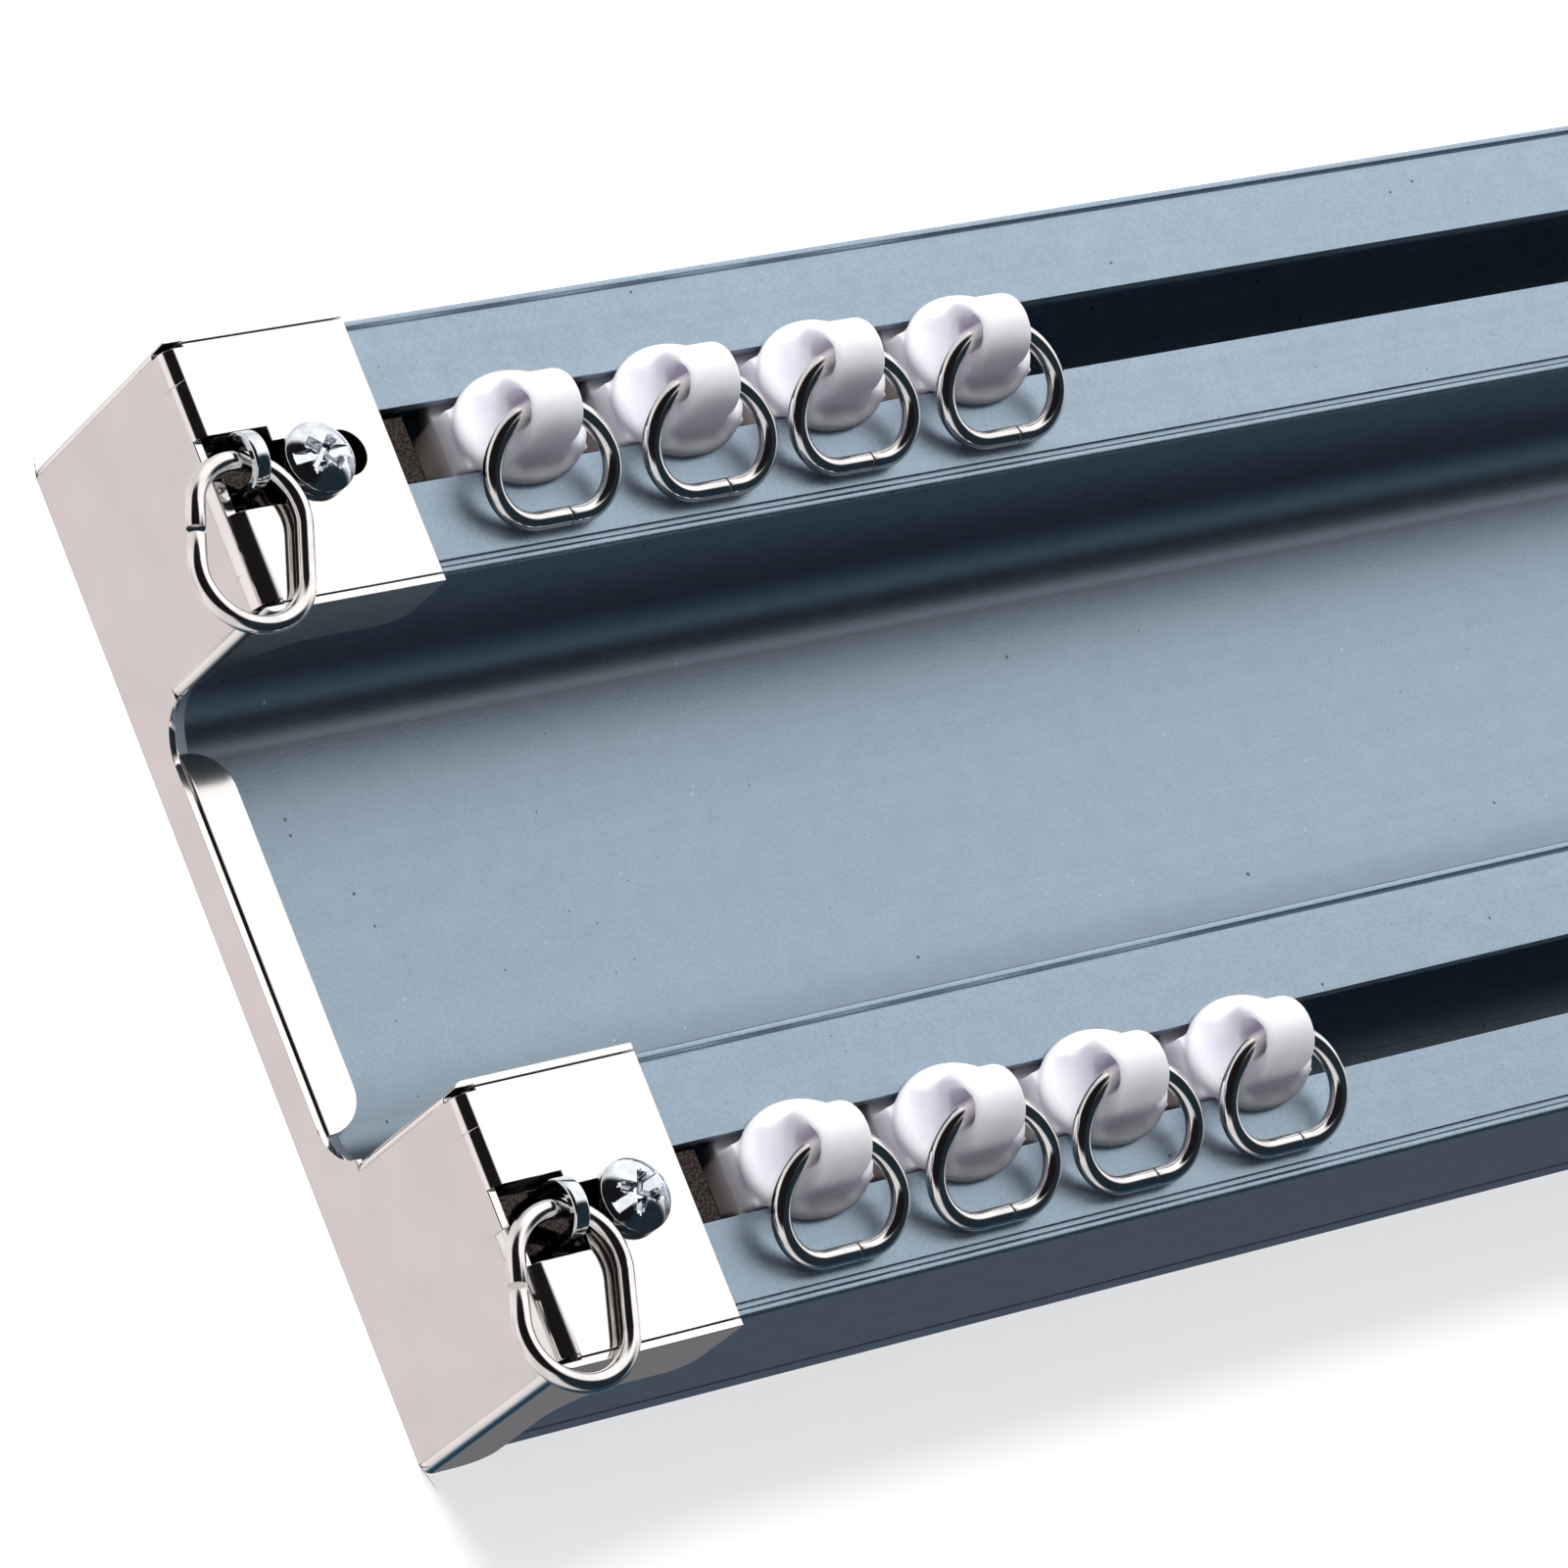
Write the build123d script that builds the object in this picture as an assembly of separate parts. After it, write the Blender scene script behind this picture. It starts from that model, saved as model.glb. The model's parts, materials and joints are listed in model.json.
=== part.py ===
from build123d import *
import os
from math import asin, atan2, cos, degrees, sin, sqrt

# Double curtain track: one aluminium extrusion with two slotted channels and a web between them,
# a bent steel cap on each end, and nylon gliders with wire rings that run in the slots.
# Millimetres. X runs along the track, Y across it, and Z points out of the slots.
# The origin is on the ceiling face, halfway along and halfway across.

# Whole track
track_length = 300.0
track_width = 110.0
track_height = 29.0
rail_spacing = 80.0
rails = {"window": rail_spacing / 2, "room": -rail_spacing / 2}

# Extruded profile
sheet = 0.8
rail_height = track_height - sheet
channel_width = 28.2
wall = 1.2
back_wall = 1.3
lip = 1.5
slot_width = 8.2
edge_radius = 0.4
bead_width = 1.0
face_groove_width = 0.5
face_groove_depth = 0.35
foot_groove_height = 3.8
foot_groove_width = 0.6
foot_groove_depth = 0.35
floor_rib_offset = 5.0
floor_rib_width = 2.6
floor_rib_height = 0.4
web_top = 3.7
web_thickness = 1.6
web_cove_radius = 6.0
screw_land_width = 12.0

# End cap, bent from one blank: measured inwards from its outer face
tab_length = 21.5
tab_gap = 0.3
fold_radius = 0.7
side_fold_radius = 0.5
side_fold_leg = 5.0
side_fold_reach = 6.0
wide_fold_radius = 1.8
corner_relief = 2.4
relief_reach = 4 * sheet
tab_edge = track_width / 2 - rail_spacing / 2 - sheet - tab_gap
window_length = 8.2
window_width = 8.2
window_depth = 1.0
screw_slot_width = 5.0
screw_slot_end = 18.2
notch_radius = 5.5
foot_radius = 2.0
flange_corner_radius = 3.0
inner_flange_bottom = 9.0
inner_flange_edge = 19.3
outer_flange_leg = 7.5
outer_flange_edge = 17.5
outer_flange_cove = 6.0
web_flange_gap = 0.1
web_flange_root = 0.5
web_flange_length = 6.0
web_flange_width = 41.5
web_flange_corner = 4.5

# Clamp plate under the lips, with the eye that carries the end ring
clamp_length = 24.0
clamp_width = 13.0
clamp_thickness = 2.0
clamp_corner = 1.5
clamp_start = 1.6
clamp_hole_radius = 2.0
eye_to_screw = 8.3
eye_strip_width = 1.8
eye_strip_thickness = 1.1
eye_inner_width = 4.0
eye_inner_top = 31.9

# M4 pan-head screw with a combined slot and cross
screw_radius = 1.95
screw_length = 12.0
head_radius = 3.85
head_rim_height = 1.1
head_height = 2.4
driver_slot_width = 1.1
driver_slot_depth = 0.9
cross_arm_width = 1.2
cross_span = 4.4
cross_depth = 1.5
cross_taper = 12

# Rings of round wire
wire_radius = 1.0
rest_gap = 0.1
end_ring_radius = 5.9
end_ring_length = 17.8
end_ring_opening = 0.7
glider_ring_bow = 7.5
glider_ring_corner = 4.75
glider_ring_straight = 5.2
glider_ring_seam = 0.12
glider_ring_seam_offset = 1.1

# Glider
glider_count = 4
glider_reach = {
    "window": (36.9, 56.6, 75.1, 94.4),
    "room": (35.9, 55.1, 73.6, 92.8),
}
glider_side_play = -0.4
shoe_length = 16.0
shoe_width = 13.0
shoe_corner = 3.0
shoe_thickness = 2.3
shoe_play = 0.3
neck_length = 14.6
neck_width = 6.8
neck_corner = 2.4
keel_length = 18.2
keel_top = 22.6
keel_bottom = 18.5
disc_length = 15.4
disc_width = 12.4
disc_thickness = 1.4
disc_play = 0.2
disc_rim_radius = 0.9
lug_thickness = 6.3
lug_width = 7.8
lug_height = 8.4
lug_edge_radius = 0.7
lug_foot_radius = 1.3
lug_rim_margin = 0.6
ring_hole_height = 5.8
ring_hole_radius = 1.7
ring_hole_mouth = 2.15
ring_hole_flare = 1.15

# How each cap is fitted: screw, eye and ring, measured from that end, and the ring's turn
left_end = {
    "window": {"screw": (12.1, -0.4), "turn": 0, "eye_side": 0.4, "yaw": 20.5},
    "room": {"screw": (14.6, -0.2), "turn": 18, "eye_side": 0.1, "yaw": 18.5},
}
right_end = {
    "window": {"screw": (13.4, 0.0), "turn": 35, "eye_side": -0.4, "yaw": 15},
    "room": {"screw": (12.8, 0.2), "turn": -20, "eye_side": 0.3, "yaw": 18},
}

end_frames = {
    "left": Location((-track_length / 2, 0, 0)),
    "right": Location((track_length / 2, 0, 0), (0, 0, 180)),
}


def near(shape, *places):
    """The vertices of a sketch that lie at the given places."""
    return [v for v in shape.vertices() if any(abs(v.X - x) + abs(v.Y - y) < 0.01 for x, y in places)]


def across(section, start, end):
    """Extrude a section drawn in Y and Z from one place along X to another."""
    return extrude(Plane.YZ.offset(start) * section, amount=end - start)


def sideways(section, start, end):
    """Extrude a section drawn in X and Z from one place along Y to another."""
    return extrude(Plane.XZ.offset(-start) * section, amount=start - end)


def folded_strip(points, inner_radius):
    """Section of the cap's sheet, folded along points that run down its middle."""
    return trace(FilletPolyline(*points, radius=inner_radius + sheet / 2), line_width=sheet)


def channel_section(outward):
    """One slotted channel about its own centre line; outward is the side away from the web."""
    section = Pos(0, rail_height / 2) * Rectangle(channel_width, rail_height)
    corners = [(s * channel_width / 2, z) for s in (-1, 1) for z in (0, rail_height)]
    section = fillet(near(section, *corners), edge_radius)
    hollow_height = rail_height - back_wall - lip
    section -= Pos(0, back_wall + hollow_height / 2) * Rectangle(channel_width - 2 * wall, hollow_height)
    section -= Pos(0, rail_height - lip / 2) * Rectangle(slot_width, lip)
    face_groove = Rectangle(face_groove_width, face_groove_depth)
    floor_rib = Rectangle(floor_rib_width, floor_rib_height)
    for side in (-1, 1):
        groove_at = side * (channel_width / 2 - bead_width - face_groove_width / 2)
        section -= Pos(groove_at, rail_height - face_groove_depth / 2) * face_groove
        section += Pos(side * floor_rib_offset, back_wall + floor_rib_height / 2) * floor_rib
    foot_groove = Rectangle(foot_groove_depth, foot_groove_width)
    section -= Pos(outward * (channel_width - foot_groove_depth) / 2, foot_groove_height) * foot_groove
    return section


def track_profile():
    web_edge = rail_spacing / 2 - channel_width / 2
    section = Pos(0, web_top - web_thickness / 2) * Rectangle(2 * web_edge, web_thickness)
    land_height = web_top - web_thickness
    section += Pos(0, land_height / 2) * Rectangle(screw_land_width, land_height)
    for centre in rails.values():
        outward = 1 if centre > 0 else -1
        section += Pos(centre, 0) * channel_section(outward)
    section = fillet(near(section, (web_edge, web_top), (-web_edge, web_top)), web_cove_radius)
    half = track_length / 2 - sheet - wide_fold_radius
    return across(section, -half, half)


def side_flange(outer_face, inward, outline):
    """A flange folded back from the end plate along an upright line and trimmed to its outline."""
    middle = outer_face + inward * sheet / 2
    points = [(sheet / 2, outer_face + inward * side_fold_leg), (sheet / 2, middle), (tab_length, middle)]
    strip = folded_strip(points, side_fold_radius)
    return extrude(strip, amount=track_height) & sideways(outline, middle - side_fold_reach, middle + side_fold_reach)


def inner_flange_outline():
    """Side view of the flange on the web side: it flares down to the end plate in one cove."""
    radius = inner_flange_edge - inner_flange_bottom
    height = track_height - inner_flange_bottom
    outline = Pos(tab_length / 2, inner_flange_bottom + height / 2) * Rectangle(tab_length, height)
    cut_length = tab_length - sheet
    outline -= Pos(sheet + cut_length / 2, inner_flange_bottom + radius / 2) * Rectangle(cut_length, radius)
    outline += Pos(sheet + radius / 2, inner_flange_bottom + radius / 2) * Rectangle(radius, radius)
    outline -= Pos(sheet + radius, inner_flange_bottom) * Circle(radius)
    return fillet(near(outline, (tab_length, inner_flange_edge)), flange_corner_radius)


def outer_flange_outline():
    """Side view of the flange on the outside: a leg down the end plate, then a cove to the tab's end."""
    outline = Pos(outer_flange_leg / 2, track_height / 2) * Rectangle(outer_flange_leg, track_height)
    upper = track_height - outer_flange_edge
    outline += Pos(tab_length / 2, outer_flange_edge + upper / 2) * Rectangle(tab_length, upper)
    outline = fillet(near(outline, (outer_flange_leg, outer_flange_edge)), outer_flange_cove)
    return fillet(near(outline, (tab_length, outer_flange_edge), (outer_flange_leg, 0)), flange_corner_radius)


def tab(centre):
    """The tab over one slot face, folded from the end plate, with its window and screw slot."""
    middle = track_height - sheet / 2
    low = track_height - 2 * corner_relief
    points = [(sheet / 2, low), (sheet / 2, middle), (tab_length, middle)]
    sharp = sideways(folded_strip(points, fold_radius), centre, centre + tab_edge)
    wide = sideways(folded_strip(points, wide_fold_radius), centre - tab_edge, centre)
    round_end = screw_slot_end - screw_slot_width / 2
    opening = Rectangle(2 * window_length, window_width)
    opening += Pos(round_end / 2, 0) * Rectangle(round_end, screw_slot_width)
    opening += Pos(round_end, 0) * Circle(screw_slot_width / 2)
    cutter = Pos(0, centre, track_height - window_depth) * extrude(opening, amount=2 * window_depth)
    return (sharp + wide) - cutter


def end_plate():
    """The cap's upright face, cut away between the two channels down to the web."""
    notch_edge = rail_spacing - track_width / 2
    plate = Pos(0, track_height / 2) * Rectangle(track_width, track_height)
    notch_bottom = web_top + web_flange_gap + sheet
    notch_height = track_height - notch_bottom
    notch = Pos(0, notch_bottom + notch_height / 2) * Rectangle(2 * notch_edge, notch_height)
    notch = fillet(near(notch, (notch_edge, notch_bottom), (-notch_edge, notch_bottom)), notch_radius)
    plate -= notch
    plate = fillet(near(plate, (track_width / 2, 0), (-track_width / 2, 0)), foot_radius)
    return across(plate, 0, sheet)


def web_flange():
    """The flange folded back over the web from the bottom of the notch."""
    middle = web_top + web_flange_gap + sheet / 2
    strip = folded_strip([(sheet / 2, web_flange_root), (sheet / 2, middle), (web_flange_length, middle)], fold_radius)
    flange = sideways(strip, -web_flange_width / 2, web_flange_width / 2)
    free_corners = flange.edges().filter_by(Axis.Z).group_by(Axis.X)[-1]
    return fillet(free_corners, web_flange_corner)


def end_cap():
    cap = end_plate()
    for centre in rails.values():
        cap -= Pos(0, centre, track_height) * Box(relief_reach, 2 * tab_edge, 2 * corner_relief)
    outer_outline = outer_flange_outline()
    inner_outline = inner_flange_outline()
    outer_trim = Box(relief_reach, 3 * sheet, 2 * track_height)
    inner_trim = Box(relief_reach, 3 * sheet, 2 * (track_height - inner_flange_bottom))
    for outward in (-1, 1):
        outer_face = outward * track_width / 2
        inner_face = outward * (rail_spacing - track_width / 2)
        cap -= Pos(0, outer_face, track_height) * outer_trim
        cap += side_flange(outer_face, -outward, outer_outline)
        cap -= Pos(0, inner_face, track_height) * inner_trim
        cap += side_flange(inner_face, outward, inner_outline)
    for centre in rails.values():
        cap += tab(centre)
        for side in (-1, 1):
            relief = Box(2 * corner_relief, 2 * tab_gap, 2 * corner_relief)
            cap -= Pos(0, centre + side * (tab_edge + tab_gap / 2), track_height) * relief
    cap += web_flange()
    return cap


def clamp_plate(fitting):
    """Tapped plate that the cap screw pulls up under the lips, with its bent eye."""
    screw_x, screw_y = fitting["screw"]
    top = rail_height - lip
    blank = extrude(RectangleRounded(clamp_length, clamp_width, clamp_corner), amount=clamp_thickness)
    plate = Pos(clamp_start + clamp_length / 2, 0, top - clamp_thickness) * blank
    bend_inside = eye_inner_width / 2
    bend_outside = bend_inside + eye_strip_thickness
    bend_height = eye_inner_top - bend_inside
    leg = bend_height - top + clamp_thickness
    leg_middle = bend_height - leg / 2
    eye = Pos(0, leg_middle) * Rectangle(2 * bend_outside, leg) + Pos(0, bend_height) * Circle(bend_outside)
    eye -= Pos(0, leg_middle) * Rectangle(2 * bend_inside, leg) + Pos(0, bend_height) * Circle(bend_inside)
    eye_start = screw_x - eye_to_screw - eye_strip_width / 2
    plate += Pos(0, fitting["eye_side"], 0) * across(eye, eye_start, eye_start + eye_strip_width)
    tapped_hole = Pos(screw_x, screw_y, top) * Cylinder(clamp_hole_radius, 3 * clamp_thickness)
    return plate - tapped_hole


def cap_screw(fitting):
    """Pan-head screw: its head is turned in one profile, then slotted and cross-recessed."""
    crown = head_height - head_rim_height
    crown_radius = (head_radius ** 2 + crown ** 2) / (2 * crown)
    halfway = head_radius / 2
    crown_point = (halfway, head_height - crown_radius + sqrt(crown_radius ** 2 - halfway ** 2))
    outline = Polyline((0, head_height), (0, 0), (head_radius, 0), (head_radius, head_rim_height))
    outline += ThreePointArc((head_radius, head_rim_height), crown_point, (0, head_height))
    head = revolve(Plane.XZ * make_face(outline), Axis.Z)
    head -= Pos(0, 0, head_height) * Box(3 * head_radius, driver_slot_width, 2 * driver_slot_depth)
    arm = extrude(Rectangle(cross_span, cross_arm_width), amount=-cross_depth, taper=cross_taper)
    for angle in (45, 135):
        head -= Pos(0, 0, head_height) * Rot(0, 0, angle) * arm
    shank = Cylinder(screw_radius, screw_length, align=(Align.CENTER, Align.CENTER, Align.MAX))
    screw_x, screw_y = fitting["screw"]
    return Pos(screw_x, screw_y, track_height) * Rot(0, 0, fitting["turn"]) * (head + shank)


def bent_wire(path):
    """Round wire swept along its middle line."""
    start = Plane(origin=path @ 0, z_dir=path % 0)
    return sweep(start * Circle(wire_radius), path=path)


def end_ring():
    """Oval ring, open at the middle of one long side, with the end of its long axis at the origin."""
    radius = end_ring_radius
    far = end_ring_length - radius
    middle = end_ring_length / 2
    near_side = Line((radius, middle - end_ring_opening / 2), (radius, radius))
    near_bend = CenterArc((0, radius), radius, 0, -180)
    long_side = Line((-radius, radius), (-radius, far))
    far_bend = CenterArc((0, far), radius, 180, -180)
    far_side = Line((radius, far), (radius, middle + end_ring_opening / 2))
    return bent_wire(Wire([near_side, near_bend, long_side, far_bend, far_side]))


def glider_ring():
    """D-shaped ring: a wide bow through the lug at the origin and a short straight opposite."""
    half = glider_ring_straight / 2
    rise = sqrt((glider_ring_bow - glider_ring_corner) ** 2 - half ** 2)
    corner_centre = glider_ring_bow - rise
    straight = corner_centre + glider_ring_corner
    meet = degrees(atan2(rise, half))
    seam = glider_ring_seam_offset
    path = Wire([
        Line((seam + glider_ring_seam / 2, straight), (half, straight)),
        CenterArc((half, corner_centre), glider_ring_corner, 90, -90 - meet),
        CenterArc((0, glider_ring_bow), glider_ring_bow, -meet, 2 * meet - 180),
        CenterArc((-half, corner_centre), glider_ring_corner, 180 + meet, -90 - meet),
        Line((-half, straight), (seam - glider_ring_seam / 2, straight)),
    ])
    return bent_wire(path), straight


def ring_lug(disc_top):
    """The glider's arched lug: it runs down in coves to the disc at its ends and along its sides."""
    half_width = lug_width / 2
    half_thickness = lug_thickness / 2
    arch_centre = rail_height + lug_height - half_width
    foot = disc_top - disc_thickness / 2
    side_foot = half_width + lug_foot_radius
    face = Pos(0, (foot + arch_centre) / 2) * Rectangle(lug_width, arch_centre - foot)
    face += Pos(0, arch_centre) * Circle(half_width)
    cove_top = disc_top + lug_foot_radius
    face += Pos(0, (foot + cove_top) / 2) * Rectangle(2 * side_foot, cove_top - foot)
    for side in (-1, 1):
        face -= Pos(side * side_foot, cove_top) * Circle(lug_foot_radius)
    ramp_radius = arch_centre - disc_top
    end_foot = half_thickness + ramp_radius
    top = rail_height + lug_height
    profile = Pos(0, (foot + top) / 2) * Rectangle(2 * end_foot, top - foot)
    for side in (-1, 1):
        profile -= Pos(side * end_foot, arch_centre) * Circle(ramp_radius)
        profile -= Pos(side * end_foot, (arch_centre + top) / 2) * Rectangle(2 * ramp_radius, top - arch_centre)
    footprint = Ellipse(disc_length / 2 - lug_rim_margin, disc_width / 2 - lug_rim_margin)
    lug = across(face, -end_foot, end_foot) & sideways(profile, -disc_width / 2, disc_width / 2)
    lug &= Pos(0, 0, foot) * extrude(footprint, amount=top - foot)
    arch_edges = [e for e in lug.edges() if e.center().Z > arch_centre and abs(abs(e.center().X) - half_thickness) < 0.01]
    return fillet(arch_edges, lug_edge_radius)


def glider():
    """One-piece nylon glider about its own place in the slot: shoe, flared neck, disc and ring lug."""
    shoe_bottom = rail_height - lip - shoe_play - shoe_thickness
    shoe = Pos(0, 0, shoe_bottom) * extrude(RectangleRounded(shoe_length, shoe_width, shoe_corner), amount=shoe_thickness)
    disc_bottom = rail_height + disc_play
    disc_top = disc_bottom + disc_thickness
    half_neck = neck_length / 2
    half_keel = keel_length / 2
    flank = [(half_neck, disc_bottom), (half_keel, keel_top), (half_keel, keel_bottom)]
    outline = Polyline(*flank, *[(-x, z) for x, z in reversed(flank)], close=True)
    neck = sideways(make_face(outline), -neck_width / 2, neck_width / 2)
    plan = extrude(RectangleRounded(keel_length, neck_width, neck_corner), amount=disc_bottom)
    disc = Pos(0, 0, disc_bottom) * extrude(Ellipse(disc_length / 2, disc_width / 2), amount=disc_thickness)
    disc = fillet(disc.edges().group_by(Axis.Z)[-1], disc_rim_radius)
    hole_centre = rail_height + ring_hole_height
    hole_cut = Pos(0, 0, hole_centre) * extrude(Plane.YZ * Circle(ring_hole_radius), amount=lug_thickness, both=True)
    for side in (-1, 1):
        mouth = Cone(ring_hole_radius, ring_hole_mouth, ring_hole_flare, align=(Align.CENTER, Align.CENTER, Align.MAX))
        hole_cut += Pos(side * lug_thickness / 2, 0, hole_centre) * Rot(0, side * 90, 0) * mouth
    return shoe + (neck & plan) + ((disc + ring_lug(disc_top)) - hole_cut)


def place_end_ring(ring, fitting):
    """Lay an end ring on its tab with its end in the eye, swung towards the cap's outer face."""
    eye_x = fitting["screw"][0] - eye_to_screw
    height = track_height + wire_radius + rest_gap / 2
    return Pos(eye_x, fitting["eye_side"], height) * Rot(0, 0, 180 - fitting["yaw"]) * ring


def place_glider_ring(ring, reach):
    """Hang a ring in the lug and lean it towards the room side until its straight lies on the slot face."""
    drop = ring_hole_height - wire_radius - rest_gap
    lean = asin(drop / reach)
    hole = (0, 0, rail_height + ring_hole_height)
    leaning = Plane(origin=hole, x_dir=(1, 0, 0), z_dir=(0, sin(lean), -cos(lean)))
    return leaning.location * ring


def write(name, shape):
    export_step(shape, f"parts/{name}.step")


def main():
    os.makedirs("parts", exist_ok=True)
    write("track_profile", track_profile())
    cap = end_cap()
    oval = end_ring()
    fittings = {"left": left_end, "right": right_end}
    for end, frame in end_frames.items():
        write(f"end_cap_{end}", frame * cap)
        for rail, centre in rails.items():
            fitting = fittings[end][rail]
            across_rail = centre if end == "left" else -centre
            seat = frame * Location((0, across_rail, 0))
            write(f"{rail}_clamp_plate_{end}", seat * clamp_plate(fitting))
            write(f"{rail}_cap_screw_{end}", seat * cap_screw(fitting))
            write(f"{rail}_end_ring_{end}", seat * place_end_ring(oval, fitting))
    runner = glider()
    ring, reach = glider_ring()
    hung_ring = place_glider_ring(ring, reach)
    for rail, centre in rails.items():
        for number, along in enumerate(glider_reach[rail], start=1):
            seat = Location((along - track_length / 2, centre + glider_side_play, 0))
            write(f"{rail}_glider_{number}", seat * runner)
            write(f"{rail}_glider_ring_{number}", seat * hung_ring)


main()
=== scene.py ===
import json
import math

import bpy
from bpy.props import FloatProperty, FloatVectorProperty, IntProperty, PointerProperty
from mathutils import Matrix, Vector


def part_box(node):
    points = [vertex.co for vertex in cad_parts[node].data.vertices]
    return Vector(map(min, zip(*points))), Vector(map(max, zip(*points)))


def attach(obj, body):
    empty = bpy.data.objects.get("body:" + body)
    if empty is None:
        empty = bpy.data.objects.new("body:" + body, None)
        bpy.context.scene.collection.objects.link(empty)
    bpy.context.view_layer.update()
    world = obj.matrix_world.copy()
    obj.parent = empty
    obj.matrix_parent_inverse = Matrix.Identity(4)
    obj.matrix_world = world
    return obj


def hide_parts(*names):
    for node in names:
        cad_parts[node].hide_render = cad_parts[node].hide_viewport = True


bl_info = {
    "name": "Double curtain track",
    "version": (1, 0, 0),
    "blender": (4, 5, 0),
    "location": "3D View > Sidebar > Curtain track",
    "description": "Builds the finished surfaces of a double curtain track around its fixed frame",
    "category": "Object",
}

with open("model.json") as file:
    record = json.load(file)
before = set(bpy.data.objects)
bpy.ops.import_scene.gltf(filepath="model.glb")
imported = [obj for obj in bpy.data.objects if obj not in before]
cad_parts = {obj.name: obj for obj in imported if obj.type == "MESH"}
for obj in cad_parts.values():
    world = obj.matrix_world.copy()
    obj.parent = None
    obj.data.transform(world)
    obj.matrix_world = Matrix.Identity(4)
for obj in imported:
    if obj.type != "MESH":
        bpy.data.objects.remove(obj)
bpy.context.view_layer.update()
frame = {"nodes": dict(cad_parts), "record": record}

# The rails with their slots' centres across the track, in metres like every length here
RAILS = {"window": 0.040, "room": -0.040}
ENDS = ("left", "right")
GLIDERS = (1, 2, 3, 4)
SIDES = (-1, 1)

# Heights: the rails' slotted faces, just under the caps' tabs, the tabs' tops, and the line on a glider's disc
RAIL_FACE = 0.0282
UNDER_TAB = 0.0281
CAP_TOP = 0.029
RIM_HEIGHT = 0.02968

# The caps' end plates, from the track's middle
CAP_END = 0.150

# Distances from a slot's centre: a face groove's outer edge, a tab's edge, and the end of a tab's fold
GROOVE_EDGE = 0.0131
TAB_EDGE = 0.0139
FOLD_END = 0.01405

# Half length and half width of the raised line on a glider's disc
RIM_RADII = (0.0066, 0.0051)

# A vertex this near to a place counts as being there
NEAR = 0.00003

# Faces that meet at less than the first angle are one plane, and edges over the second one are sharp
FLAT_ANGLE = math.radians(0.3)
SHARP_ANGLE = math.radians(32)


# Sizes and colours a user would change

class CURTAINTRACK_PG_settings(bpy.types.PropertyGroup):
    """Sizes and colours of the finished track."""

    edge_round: FloatProperty(
        name="Edge round", description="Rounding of the sheet and extrusion edges",
        default=0.00008, unit="LENGTH")
    eye_round: FloatProperty(
        name="Eye round", description="Rounding of the eyes' edges", default=0.0003, unit="LENGTH")
    bead_slope: FloatProperty(
        name="Bead slope", description="Width of the slope up to the beads beside the face grooves",
        default=0.0003, unit="LENGTH")
    sharp_fold: FloatProperty(
        name="Sharp fold", description="Radius of the sharp half of a tab's fold",
        default=0.0016, unit="LENGTH")
    wide_fold: FloatProperty(
        name="Wide fold", description="Radius of the wide half of a tab's fold",
        default=0.0027, unit="LENGTH")
    gap_closing: FloatProperty(
        name="Gap closing", description="How far each tab edge is moved towards its flange",
        default=0.00017, unit="LENGTH")
    rim_bead: FloatProperty(
        name="Rim bead", description="Radius of the raised line round a glider's disc",
        default=0.0002, unit="LENGTH")
    glider_voxel: FloatProperty(
        name="Glider voxel", description="Mesh size of a glider", default=0.0002, unit="LENGTH")
    glider_smoothing: IntProperty(
        name="Glider smoothing", description="Passes that soften a glider's moulded edges",
        default=5, min=0)
    anodised_colour: FloatVectorProperty(
        name="Anodised colour", description="Colour of the extrusion",
        subtype="COLOR", default=(0.415, 0.52, 0.615))
    nickel_colour: FloatVectorProperty(
        name="Nickel colour", description="Colour of the polished caps",
        subtype="COLOR", default=(0.88, 0.84, 0.82))
    wire_colour: FloatVectorProperty(
        name="Wire colour", description="Colour of the rings",
        subtype="COLOR", default=(0.84, 0.81, 0.79))
    zinc_colour: FloatVectorProperty(
        name="Zinc colour", description="Colour of the screws and clamp plates",
        subtype="COLOR", default=(0.80, 0.84, 0.88))
    nylon_colour: FloatVectorProperty(
        name="Nylon colour", description="Colour of the gliders",
        subtype="COLOR", default=(0.85, 0.835, 0.92))
    floor_glow: FloatProperty(
        name="Floor glow", description="Light that the white floor gives off, as a lit table does",
        default=0.62, min=0)
    floor_colour: FloatVectorProperty(
        name="Floor colour", description="Colour of the studio floor",
        subtype="COLOR", default=(0.92, 0.92, 0.92))


# Materials: arithmetic on a socket adds the Math nodes

# Sockets of a Mix node that mixes colours
MIX_FACTOR, MIX_FIRST, MIX_SECOND, MIX_RESULT = 0, 6, 7, 2


class Value:
    """A number that changes over a surface."""

    def __init__(self, finish, socket):
        self.finish = finish
        self.socket = socket

    def maths(self, operation, *others):
        return self.finish.node("ShaderNodeMath", {"operation": operation}, [self, *others])

    def __add__(self, other):
        return self.maths("ADD", other)

    __radd__ = __add__

    def __mul__(self, other):
        return self.maths("MULTIPLY", other)

    def between(self, low, high):
        """0 below low, 1 above high, and smooth between them."""
        settings = {"interpolation_type": "SMOOTHSTEP"}
        values = {"Value": self, "From Min": low, "From Max": high}
        return self.finish.node("ShaderNodeMapRange", settings, values)


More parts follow.
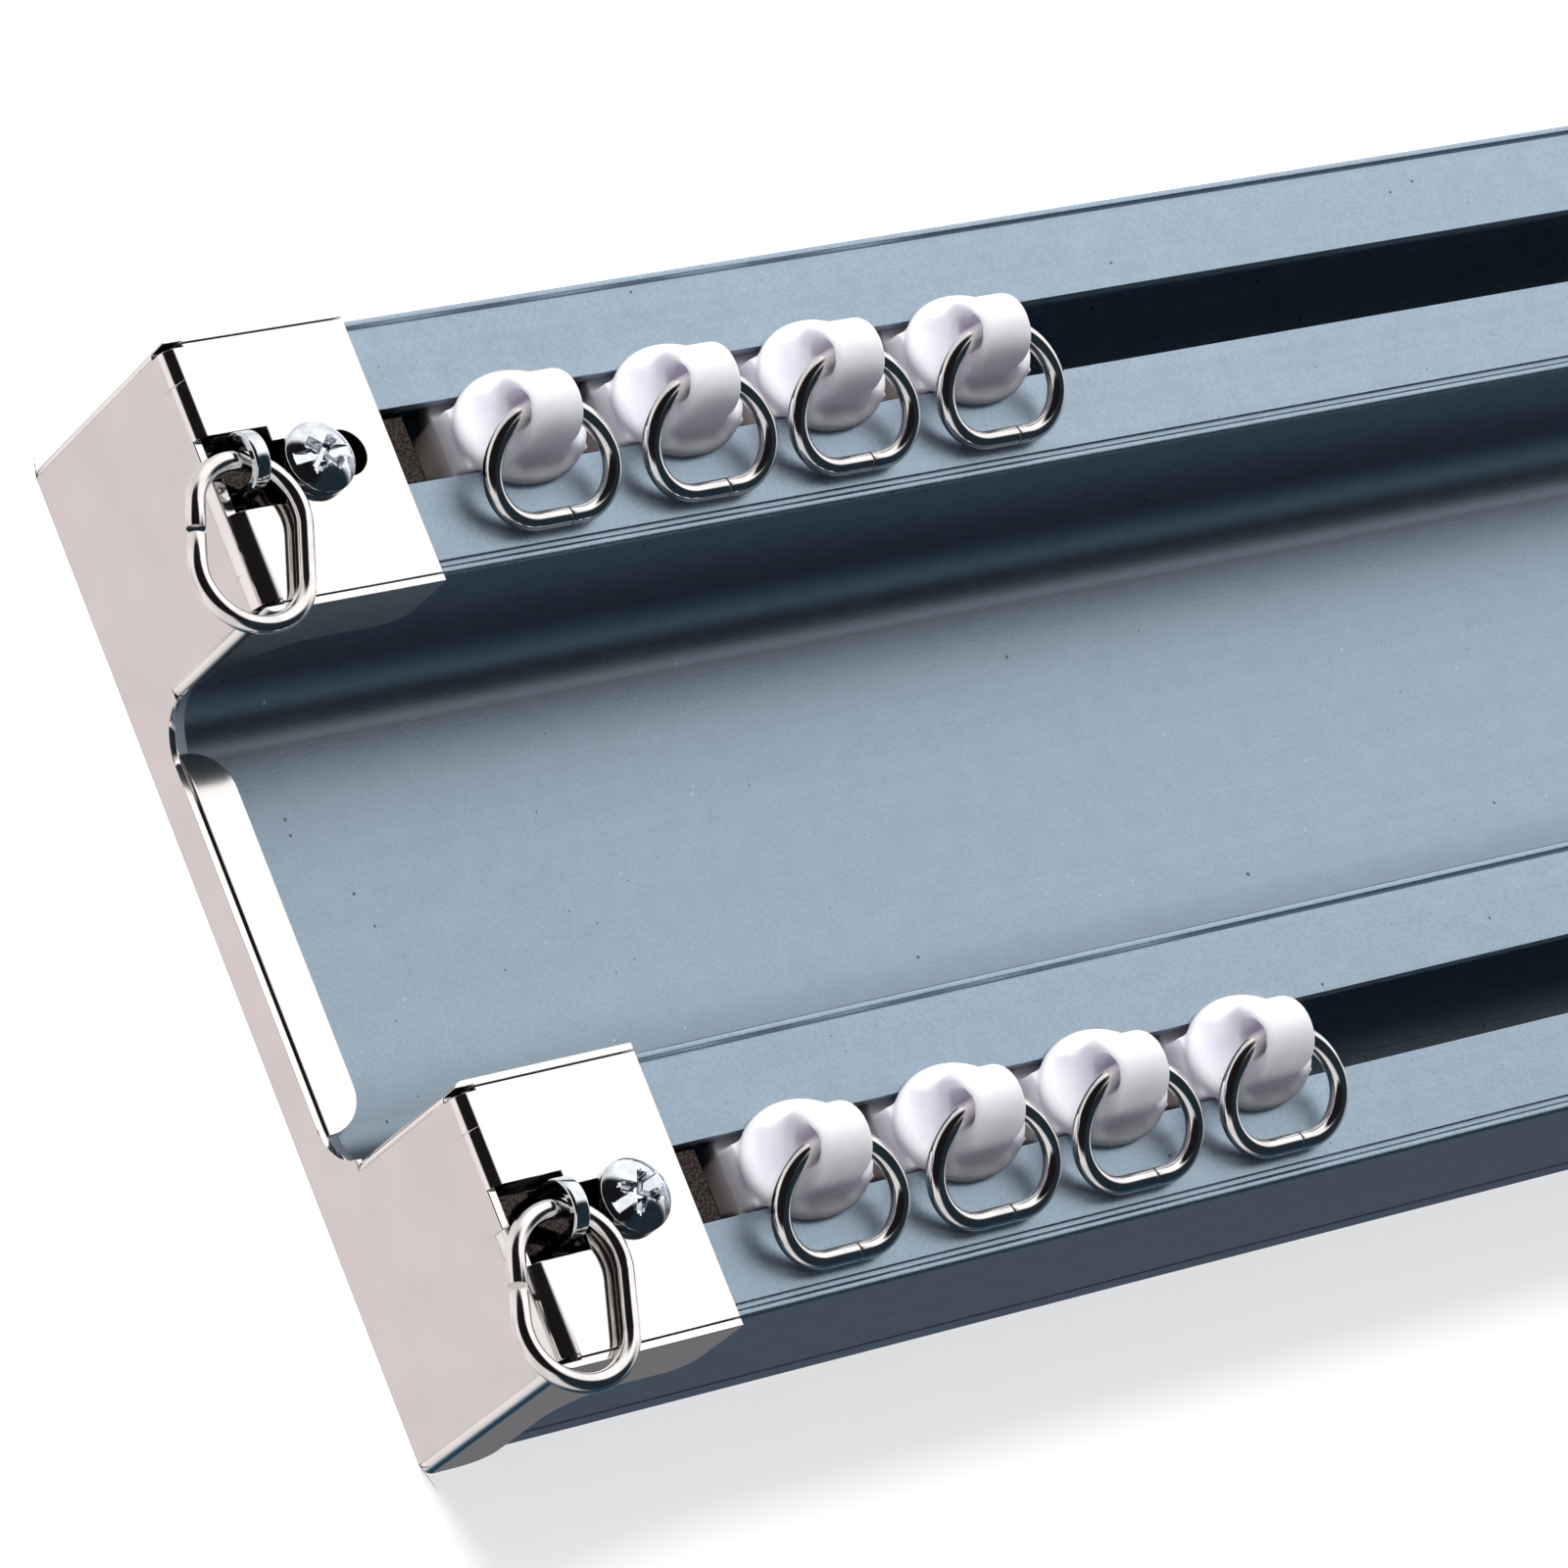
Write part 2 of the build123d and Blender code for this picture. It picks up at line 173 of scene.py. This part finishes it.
class Finish:
    """A procedural material: one Principled shader and the nodes that vary it."""

    def __init__(self, name, **constants):
        self.material = bpy.data.materials.new(name)
        self.material.use_nodes = True
        self.tree = self.material.node_tree
        self.shader = self.tree.nodes["Principled BSDF"]
        for socket, value in constants.items():
            self.shader.inputs[socket.replace("_", " ")].default_value = value
        place = self.tree.nodes.new("ShaderNodeTexCoord")
        self.place = Value(self, place.outputs["Object"])
        self.across = self.node("ShaderNodeSeparateXYZ", {}, [self.place], output=1)
        self.height = self.node("ShaderNodeSeparateXYZ", {}, [self.place], output=2)

    def link(self, value, socket):
        if isinstance(value, Value):
            self.tree.links.new(value.socket, socket)
        elif isinstance(value, (tuple, list)) and len(value) == 3 and socket.type == "RGBA":
            socket.default_value = (*value, 1.0)
        else:
            socket.default_value = value

    def node(self, kind, settings, values, output=0):
        """Add a node: its settings first, then the values or links of its sockets."""
        made = self.tree.nodes.new(kind)
        for name, setting in settings.items():
            setattr(made, name, setting)
        numbered = values.items() if isinstance(values, dict) else enumerate(values)
        for socket, value in numbered:
            self.link(value, made.inputs[socket])
        return Value(self, made.outputs[output])

    def stretched(self, *scale):
        """Object coordinates with each axis multiplied, so that a pattern runs along one of them."""
        return self.node("ShaderNodeMapping", {}, {"Vector": self.place, "Scale": scale})

    def noise(self, scale, detail, roughness=0.5, place=None):
        values = {"Vector": place or self.place, "Scale": scale, "Detail": detail, "Roughness": roughness}
        return self.node("ShaderNodeTexNoise", {}, values)

    def mix(self, factor, first, second):
        """The first colour where the factor is 0 and the second where it is 1."""
        values = {MIX_FACTOR: factor, MIX_FIRST: first, MIX_SECOND: second}
        return self.node("ShaderNodeMix", {"data_type": "RGBA"}, values, output=MIX_RESULT)

    def bump(self, height, distance, strength):
        values = {"Height": height, "Distance": distance, "Strength": strength}
        self.set(Normal=self.node("ShaderNodeBump", {}, values))

    def set(self, **values):
        for socket, value in values.items():
            self.link(value, self.shader.inputs[socket.replace("_", " ")])


def shade(colour, amount):
    """A colour made darker or lighter."""
    return tuple(channel * amount for channel in colour)


def anodised(name, settings):
    """Matt anodised aluminium with a grain, faint die lines and specks, and painted shade where the walls meet
    the web.
    """
    finish = Finish(name, Metallic=1.0)
    grain = finish.noise(2400, detail=3, roughness=0.6)
    mottle = finish.noise(330, detail=3)
    die_lines = finish.noise(1, detail=3, place=finish.stretched(5, 700, 700))
    speck = finish.noise(1100, detail=0).between(0.875, 0.885)
    glint = finish.noise(1500, detail=0, place=finish.stretched(1.1, 0.9, 1)).between(0.89, 0.90)
    colour = tuple(settings.anodised_colour)
    tone = grain * 0.55 + mottle * 0.25 + die_lines * 0.2
    base = finish.mix(tone.between(0.3, 0.7), shade(colour, 0.86), shade(colour, 1.13))
    from_web = finish.across.maths("ABSOLUTE")
    # Painted shade: the base colour darkens towards the coves where the walls meet the web, broken up by the
    # grain
    beside_wall = from_web.between(0.013, 0.0245) * from_web.between(0.0262, 0.0260)
    painted_cove_shade = beside_wall * finish.height.between(0.024, 0.008)
    base = finish.mix(painted_cove_shade * (0.3 + grain * 0.4), base, shade(colour, 0.15))
    base = finish.mix(glint * 0.6, base, (0.75, 0.82, 0.88))
    finish.set(Base_Color=finish.mix(speck * 0.85, base, shade(colour, 0.22)))
    finish.set(Roughness=0.33 + tone * 0.16)
    finish.bump(grain, 0.00003, 0.7)
    return finish.material


def polished_nickel(name, settings):
    """Plated sheet: polished, with a faint ripple and fine rubbing marks."""
    finish = Finish(name, Metallic=1.0)
    cloud = finish.noise(120, detail=4)
    rubbed = finish.noise(1, detail=3, place=finish.stretched(1200, 90, 1200))
    pits = finish.noise(2600, detail=1)
    colour = tuple(settings.nickel_colour)
    finish.set(Base_Color=finish.mix(cloud.between(0.3, 0.7), shade(colour, 0.97), shade(colour, 1.02)))
    finish.set(Roughness=0.06 + cloud * 0.04 + rubbed * 0.03)
    finish.bump(cloud * 0.3 + pits * 0.06, 0.00002, 0.2)
    return finish.material


def nickel_wire(name, settings):
    """Drawn and plated wire, bright, with slight changes along it."""
    finish = Finish(name, Metallic=1.0)
    cloud = finish.noise(420, detail=3)
    fine = finish.noise(3800, detail=1)
    colour = tuple(settings.wire_colour)
    finish.set(Base_Color=finish.mix(cloud.between(0.3, 0.7), shade(colour, 0.9), shade(colour, 1.05)))
    finish.set(Roughness=0.07 + cloud * 0.06)
    finish.bump(cloud * 0.5 + fine * 0.1, 0.00004, 0.3)
    return finish.material


def zinc(name, settings):
    """Bright zinc plating with a cold, cloudy sheen, and painted shade that turns it near black below the
    caps' tabs.
    """
    finish = Finish(name, Metallic=1.0)
    cloud = finish.noise(700, detail=3)
    fine = finish.noise(3000, detail=2)
    colour = tuple(settings.zinc_colour)
    plated = finish.mix(cloud.between(0.3, 0.7), shade(colour, 0.8), shade(colour, 1.08))
    # Painted shade: below the caps' tabs the screws are coloured near black with a fine mottle, where the tabs
    # shade them
    painted_shade_under_tab = finish.mix(fine.between(0.4, 0.6), (0.018, 0.014, 0.013), (0.05, 0.040, 0.036))
    above_tab = finish.height.between(0.0276, CAP_TOP)
    finish.set(Base_Color=finish.mix(above_tab, painted_shade_under_tab, plated))
    finish.set(Roughness=0.06 + cloud * 0.06)
    finish.bump(cloud * 0.4 + fine * 0.1, 0.00004, 0.25)
    return finish.material


def nylon(name, settings):
    """Milky moulded nylon, waxy and slightly uneven, with painted dark brown shade down in the slots."""
    finish = Finish(
        name, Subsurface_Weight=0.75, Subsurface_Radius=(0.0032, 0.003, 0.0034), Subsurface_Scale=1.0,
        IOR=1.53, Coat_Weight=0.15, Coat_Roughness=0.25)
    cloud = finish.noise(230, detail=3)
    flow = finish.noise(1, detail=3, place=finish.stretched(160, 420, 420))
    fine = finish.noise(1900, detail=2)
    colour = tuple(settings.nylon_colour)
    milky = finish.mix((cloud * 0.6 + flow * 0.4).between(0.3, 0.7), shade(colour, 0.93), shade(colour, 1.04))
    # Painted shade: below the slot face the nylon is coloured dark brown, where it sits in the slot's shade
    above_slot = finish.height.between(0.0245, 0.0283)
    finish.set(Base_Color=finish.mix(above_slot, (0.30, 0.25, 0.24), milky))
    finish.set(Roughness=0.30 + fine * 0.14)
    finish.bump(cloud * 0.6 + flow * 0.3 + fine * 0.1, 0.00012, 0.5)
    return finish.material


FINISHES = {
    "anodised_aluminium": anodised,
    "polished_nickel": polished_nickel,
    "nickel_wire": nickel_wire,
    "zinc_plated_steel": zinc,
    "nylon": nylon,
}


def finish_for(slot):
    """The material of a slot of the record, made when it is first asked for."""
    name = f"{slot}_finish"
    return bpy.data.materials.get(name) or FINISHES[slot](name, bpy.context.scene.curtain_track)


# Modelling aids

SLOTS = {part["node"]: part["material_slot"] for part in frame["record"]["subparts"]}
BODIES = {node: body for body, nodes in frame["record"]["behaviour"]["bodies"].items() for node in nodes}


def alone(piece):
    """Make a piece the only selected object and the active one."""
    bpy.ops.object.select_all(action="DESELECT")
    piece.select_set(True)
    bpy.context.view_layer.objects.active = piece


def stand_for(piece, node):
    """A finished piece takes a node's place, body and material slot."""
    piece.data.materials.clear()
    piece.data.materials.append(finish_for(SLOTS[node]))
    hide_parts(node)
    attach(piece, BODIES[node])


def join_triangles(piece, reach=0.000002):
    """Join vertices that coincide, then triangles that lie in one plane."""
    alone(piece)
    bpy.ops.object.mode_set(mode="EDIT")
    bpy.ops.mesh.select_all(action="SELECT")
    bpy.ops.mesh.remove_doubles(threshold=reach)
    bpy.ops.mesh.dissolve_limited(angle_limit=FLAT_ANGLE)
    bpy.ops.object.mode_set(mode="OBJECT")


def merged_copy(node, name):
    """A copy of a node's mesh with its loose triangles joined into plain faces."""
    piece = bpy.data.objects.new(name, frame["nodes"][node].data.copy())
    bpy.context.scene.collection.objects.link(piece)
    join_triangles(piece)
    return piece


def apply(piece, kind, **settings):
    """Add a modifier with its settings and apply it."""
    alone(piece)
    modifier = piece.modifiers.new(kind.lower(), kind)
    for name, setting in settings.items():
        setattr(modifier, name, setting)
    bpy.ops.object.modifier_apply(modifier=modifier.name)


def round_edges(piece, width, segments=2):
    """Break the sharp edges of a piece so that they catch the light, and shade it smooth."""
    apply(piece, "BEVEL", width=width, segments=segments, limit_method="ANGLE", angle_limit=SHARP_ANGLE,
          use_clamp_overlap=False, loop_slide=True)
    bpy.ops.object.shade_smooth_by_angle(angle=SHARP_ANGLE)
    apply(piece, "WEIGHTED_NORMAL", keep_sharp=True, weight=60)


def refined(node, width, segments=2):
    """A node's own shape with broken edges stands for the node."""
    piece = merged_copy(node, f"finished_{node}")
    round_edges(piece, width, segments)
    stand_for(piece, node)


def shift(piece, test, *offset):
    """Move the vertices at the wanted places."""
    alone(piece)
    bpy.ops.object.mode_set(mode="EDIT")
    bpy.ops.mesh.select_mode(type="VERT")
    bpy.ops.mesh.select_all(action="DESELECT")
    bpy.ops.object.mode_set(mode="OBJECT")
    found = False
    for vertex in piece.data.vertices:
        vertex.select = test(*vertex.co)
        found = found or vertex.select
    if not found:
        raise RuntimeError(f"no vertex of {piece.name} lies at the place that was asked for")
    bpy.ops.object.mode_set(mode="EDIT")
    bpy.ops.transform.translate(value=offset)
    bpy.ops.object.mode_set(mode="OBJECT")


# The studio: camera, world light, floor and lamp

VIEW_FORWARD = Vector((0.5912, 0.2401, -0.7698))
CAMERA_PLACE = Vector((-0.6003, -0.2060, 0.6813))
CAMERA_RIGHT = Vector((0.790, -0.366, 0.492))
CAMERA_LENS = 195.6


def add_camera():
    """The photo's camera, worked out from the straight edges of the cap."""
    bpy.ops.object.camera_add()
    camera = bpy.context.object
    camera.name = "photo_camera"
    forward = VIEW_FORWARD.normalized()
    right = (CAMERA_RIGHT - forward * CAMERA_RIGHT.dot(forward)).normalized()
    up = right.cross(forward)
    turn = Matrix((right, up, -forward)).transposed().to_4x4()
    camera.matrix_world = Matrix.Translation(CAMERA_PLACE) @ turn
    camera.data.lens = CAMERA_LENS
    camera.data.sensor_width = 36
    camera.data.clip_start = 0.01
    camera.data.clip_end = 50
    bpy.context.scene.camera = camera


# Light of the studio by direction: colour, direction, and the angles where it is full and where it has gone
SKY_CARDS = (
    ((1.22, 1.22, 1.23), (0.66, 0.40, 0.64), 34, 58),
    ((0.016, 0.027, 0.036), (0.42, -0.72, 0.55), 38, 54),
    ((0.02, 0.06, 0.095), (0.50, -0.55, -0.67), 26, 54),
    ((0.17, 0.165, 0.18), (0.591, -0.240, -0.770), 7, 13),
    ((0.95, 0.93, 0.93), (-0.80, 0.40, -0.45), 40, 58),
    ((0.74, 0.69, 0.70), (-0.60, 0.25, -0.76), 14, 24),
    ((0.010, 0.009, 0.010), (-0.48, 0.14, 0.87), 40, 52),
)
SKY_GROUND = (0.80, 0.79, 0.80)


def light_world():
    """A plain sky with soft cards laid over it, the last one on top."""
    world = bpy.data.worlds.new("studio")
    bpy.context.scene.world = world
    world.use_nodes = True
    tree = world.node_tree
    place = tree.nodes.new("ShaderNodeTexCoord")
    sky = (*SKY_GROUND, 1)
    for colour, direction, full, gone in SKY_CARDS:
        facing = tree.nodes.new("ShaderNodeVectorMath")
        facing.operation = "DOT_PRODUCT"
        tree.links.new(place.outputs["Generated"], facing.inputs[0])
        facing.inputs[1].default_value = Vector(direction).normalized()
        edge = tree.nodes.new("ShaderNodeMapRange")
        edge.interpolation_type = "SMOOTHSTEP"
        tree.links.new(facing.outputs["Value"], edge.inputs["Value"])
        edge.inputs["From Min"].default_value = math.cos(math.radians(gone))
        edge.inputs["From Max"].default_value = math.cos(math.radians(full))
        mix = tree.nodes.new("ShaderNodeMix")
        mix.data_type = "RGBA"
        tree.links.new(edge.outputs["Result"], mix.inputs[MIX_FACTOR])
        if isinstance(sky, tuple):
            mix.inputs[MIX_FIRST].default_value = sky
        else:
            tree.links.new(sky, mix.inputs[MIX_FIRST])
        mix.inputs[MIX_SECOND].default_value = (*colour, 1)
        sky = mix.outputs[MIX_RESULT]
    tree.links.new(sky, tree.nodes["Background"].inputs["Color"])


def add_floor(settings):
    """A white floor that glows a little and isn't mirrored in the metal."""
    bpy.ops.mesh.primitive_plane_add(size=6, location=(0, 0, 0))
    floor = bpy.context.object
    floor.name = "studio_floor"
    finish = Finish(
        "studio_floor", Roughness=0.9, Emission_Color=(1, 1, 1, 1), Emission_Strength=settings.floor_glow)
    cloud = finish.noise(3, detail=2)
    colour = tuple(settings.floor_colour)
    finish.set(Base_Color=finish.mix(cloud, shade(colour, 0.99), colour))
    floor.data.materials.append(finish.material)
    floor.visible_glossy = False


def add_lamp(name, place, size, power):
    """A square lamp that faces the origin and isn't mirrored in the metal."""
    bpy.ops.object.light_add(type="AREA", location=place)
    lamp = bpy.context.object
    lamp.name = name
    lamp.data.size = size
    lamp.data.energy = power
    lamp.rotation_euler = (-Vector(place)).to_track_quat("-Z", "Y").to_euler()
    lamp.visible_glossy = False


class CURTAINTRACK_OT_stage(bpy.types.Operator):
    """Camera, floor and studio light."""

    bl_idname = "curtaintrack.stage"
    bl_label = "Studio"

    def execute(self, context):
        add_camera()
        light_world()
        add_floor(context.scene.curtain_track)
        add_lamp("key_light", (-0.1, 0.8, 1.2), 0.8, 24)
        return {"FINISHED"}


class CURTAINTRACK_OT_profile(bpy.types.Operator):
    """The extruded double channel, with its edges broken."""

    bl_idname = "curtaintrack.profile"
    bl_label = "Extruded profile"

    def execute(self, context):
        settings = context.scene.curtain_track
        piece = merged_copy("track_profile", "finished_track_profile")
        for centre in RAILS.values():
            for side in SIDES:
                edge = centre + side * GROOVE_EDGE
                shift(piece, lambda x, y, z: abs(y - edge) < NEAR and abs(z - RAIL_FACE) < NEAR,
                      0, side * settings.bead_slope, 0)
        round_edges(piece, settings.edge_round)
        stand_for(piece, "track_profile")
        return {"FINISHED"}


class CURTAINTRACK_OT_end_caps(bpy.types.Operator):
    """The two bent end caps."""

    bl_idname = "curtaintrack.end_caps"
    bl_label = "End caps"

    def execute(self, context):
        settings = context.scene.curtain_track
        for end in ENDS:
            piece = merged_copy(f"end_cap_{end}", f"finished_end_cap_{end}")
            inward = 1 if end == "left" else -1
            for centre in RAILS.values():
                for side in SIDES:
                    self.refold(piece, inward, centre, side, settings)
                    edge = centre + side * TAB_EDGE
                    shift(piece, lambda x, y, z: abs(y - edge) < NEAR and z > UNDER_TAB,
                          0, side * settings.gap_closing, 0)
            round_edges(piece, settings.edge_round)
            stand_for(piece, f"end_cap_{end}")
        return {"FINISHED"}

    def refold(self, piece, inward, centre, side, settings):
        """Round one half of a tab's fold in one sweep, also over the flange corners beside it."""
        wide = side == -inward
        radius = settings.wide_fold if wide else settings.sharp_fold
        past_centre = 0.00005 if wide else 0.0003
        margin = 0.001
        skim = 0.00002
        length = FOLD_END + past_centre
        middle = centre + side * (length / 2 - past_centre)
        outer = -inward * CAP_END
        reach = radius + margin
        painted_cove_shade = (outer + inward * (radius - reach / 2), middle, CAP_TOP - radius + reach / 2)
        bpy.ops.mesh.primitive_cube_add(size=1, location=painted_cove_shade, scale=(reach, length, reach))
        cutter = bpy.context.object
        hub = (outer + inward * (radius - skim), middle, CAP_TOP - radius + skim)
        bpy.ops.mesh.primitive_cylinder_add(
            vertices=96, radius=radius, depth=2 * length, location=hub, rotation=(math.pi / 2, 0, 0))
        round_bar = bpy.context.object
        apply(cutter, "BOOLEAN", operation="DIFFERENCE", solver="EXACT", object=round_bar)
        apply(piece, "BOOLEAN", operation="DIFFERENCE", solver="EXACT", object=cutter)
        for helper in (cutter, round_bar):
            bpy.data.objects.remove(helper)


class CURTAINTRACK_OT_fittings(bpy.types.Operator):
    """Clamp plates with their eyes, and cap screws."""

    bl_idname = "curtaintrack.fittings"
    bl_label = "Clamp plates and screws"

    def execute(self, context):
        settings = context.scene.curtain_track
        for end in ENDS:
            for rail in RAILS:
                refined(f"{rail}_clamp_plate_{end}", settings.eye_round, 3)
                refined(f"{rail}_cap_screw_{end}", settings.edge_round, 3)
        return {"FINISHED"}


class CURTAINTRACK_OT_rings(bpy.types.Operator):
    """End rings and glider rings."""

    bl_idname = "curtaintrack.rings"
    bl_label = "Rings"

    def execute(self, context):
        settings = context.scene.curtain_track
        for node, slot in SLOTS.items():
            if slot == "nickel_wire":
                refined(node, settings.edge_round)
        return {"FINISHED"}


class CURTAINTRACK_OT_gliders(bpy.types.Operator):
    """Moulded gliders: one is modelled, and each place in the slots gets a copy."""

    bl_idname = "curtaintrack.gliders"
    bl_label = "Gliders"

    def execute(self, context):
        settings = context.scene.curtain_track
        first = merged_copy("window_glider_1", "finished_window_glider_1")
        low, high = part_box("window_glider_1")
        middle = (low + high) / 2
        half_length, half_width = RIM_RADII
        rim_centre = (middle.x, middle.y, RIM_HEIGHT)
        bpy.ops.mesh.primitive_torus_add(
            major_radius=half_length, minor_radius=settings.rim_bead, major_segments=64, minor_segments=12,
            location=rim_centre)
        bead = bpy.context.object
        alone(bead)
        bpy.ops.object.mode_set(mode="EDIT")
        bpy.ops.mesh.select_all(action="SELECT")
        bpy.ops.transform.resize(value=(1, half_width / half_length, 1), center_override=rim_centre)
        bpy.ops.object.mode_set(mode="OBJECT")
        first.select_set(True)
        bpy.context.view_layer.objects.active = first
        bpy.ops.object.join()
        apply(first, "REMESH", mode="VOXEL", voxel_size=settings.glider_voxel)
        apply(first, "SMOOTH", factor=0.5, iterations=settings.glider_smoothing)
        bpy.ops.object.shade_smooth()
        first_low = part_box("window_glider_1")[0]
        for rail in RAILS:
            for number in GLIDERS:
                node = f"{rail}_glider_{number}"
                piece = first
                if node != "window_glider_1":
                    piece = bpy.data.objects.new(f"finished_{node}", first.data.copy())
                    bpy.context.scene.collection.objects.link(piece)
                    piece.data.transform(Matrix.Translation(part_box(node)[0] - first_low))
                stand_for(piece, node)
        return {"FINISHED"}


class CURTAINTRACK_PT_panel(bpy.types.Panel):
    """Lists the operators in the sidebar."""

    bl_idname = "CURTAINTRACK_PT_panel"
    bl_label = "Curtain track"
    bl_space_type = "VIEW_3D"
    bl_region_type = "UI"
    bl_category = "Curtain track"

    def draw(self, context):
        for operator in OPERATORS:
            self.layout.operator(operator.bl_idname)


OPERATORS = (
    CURTAINTRACK_OT_stage,
    CURTAINTRACK_OT_profile,
    CURTAINTRACK_OT_end_caps,
    CURTAINTRACK_OT_fittings,
    CURTAINTRACK_OT_rings,
    CURTAINTRACK_OT_gliders,
)
CLASSES = (CURTAINTRACK_PG_settings, *OPERATORS, CURTAINTRACK_PT_panel)


def register():
    for kind in CLASSES:
        bpy.utils.register_class(kind)
    bpy.types.Scene.curtain_track = PointerProperty(type=CURTAINTRACK_PG_settings)


def unregister():
    del bpy.types.Scene.curtain_track
    for kind in reversed(CLASSES):
        bpy.utils.unregister_class(kind)


def main():
    register()
    bpy.context.scene.view_settings.view_transform = "Standard"
    for operator in OPERATORS:
        group, name = operator.bl_idname.split(".")
        getattr(getattr(bpy.ops, group), name)()


if __name__ == "__main__":
    main()
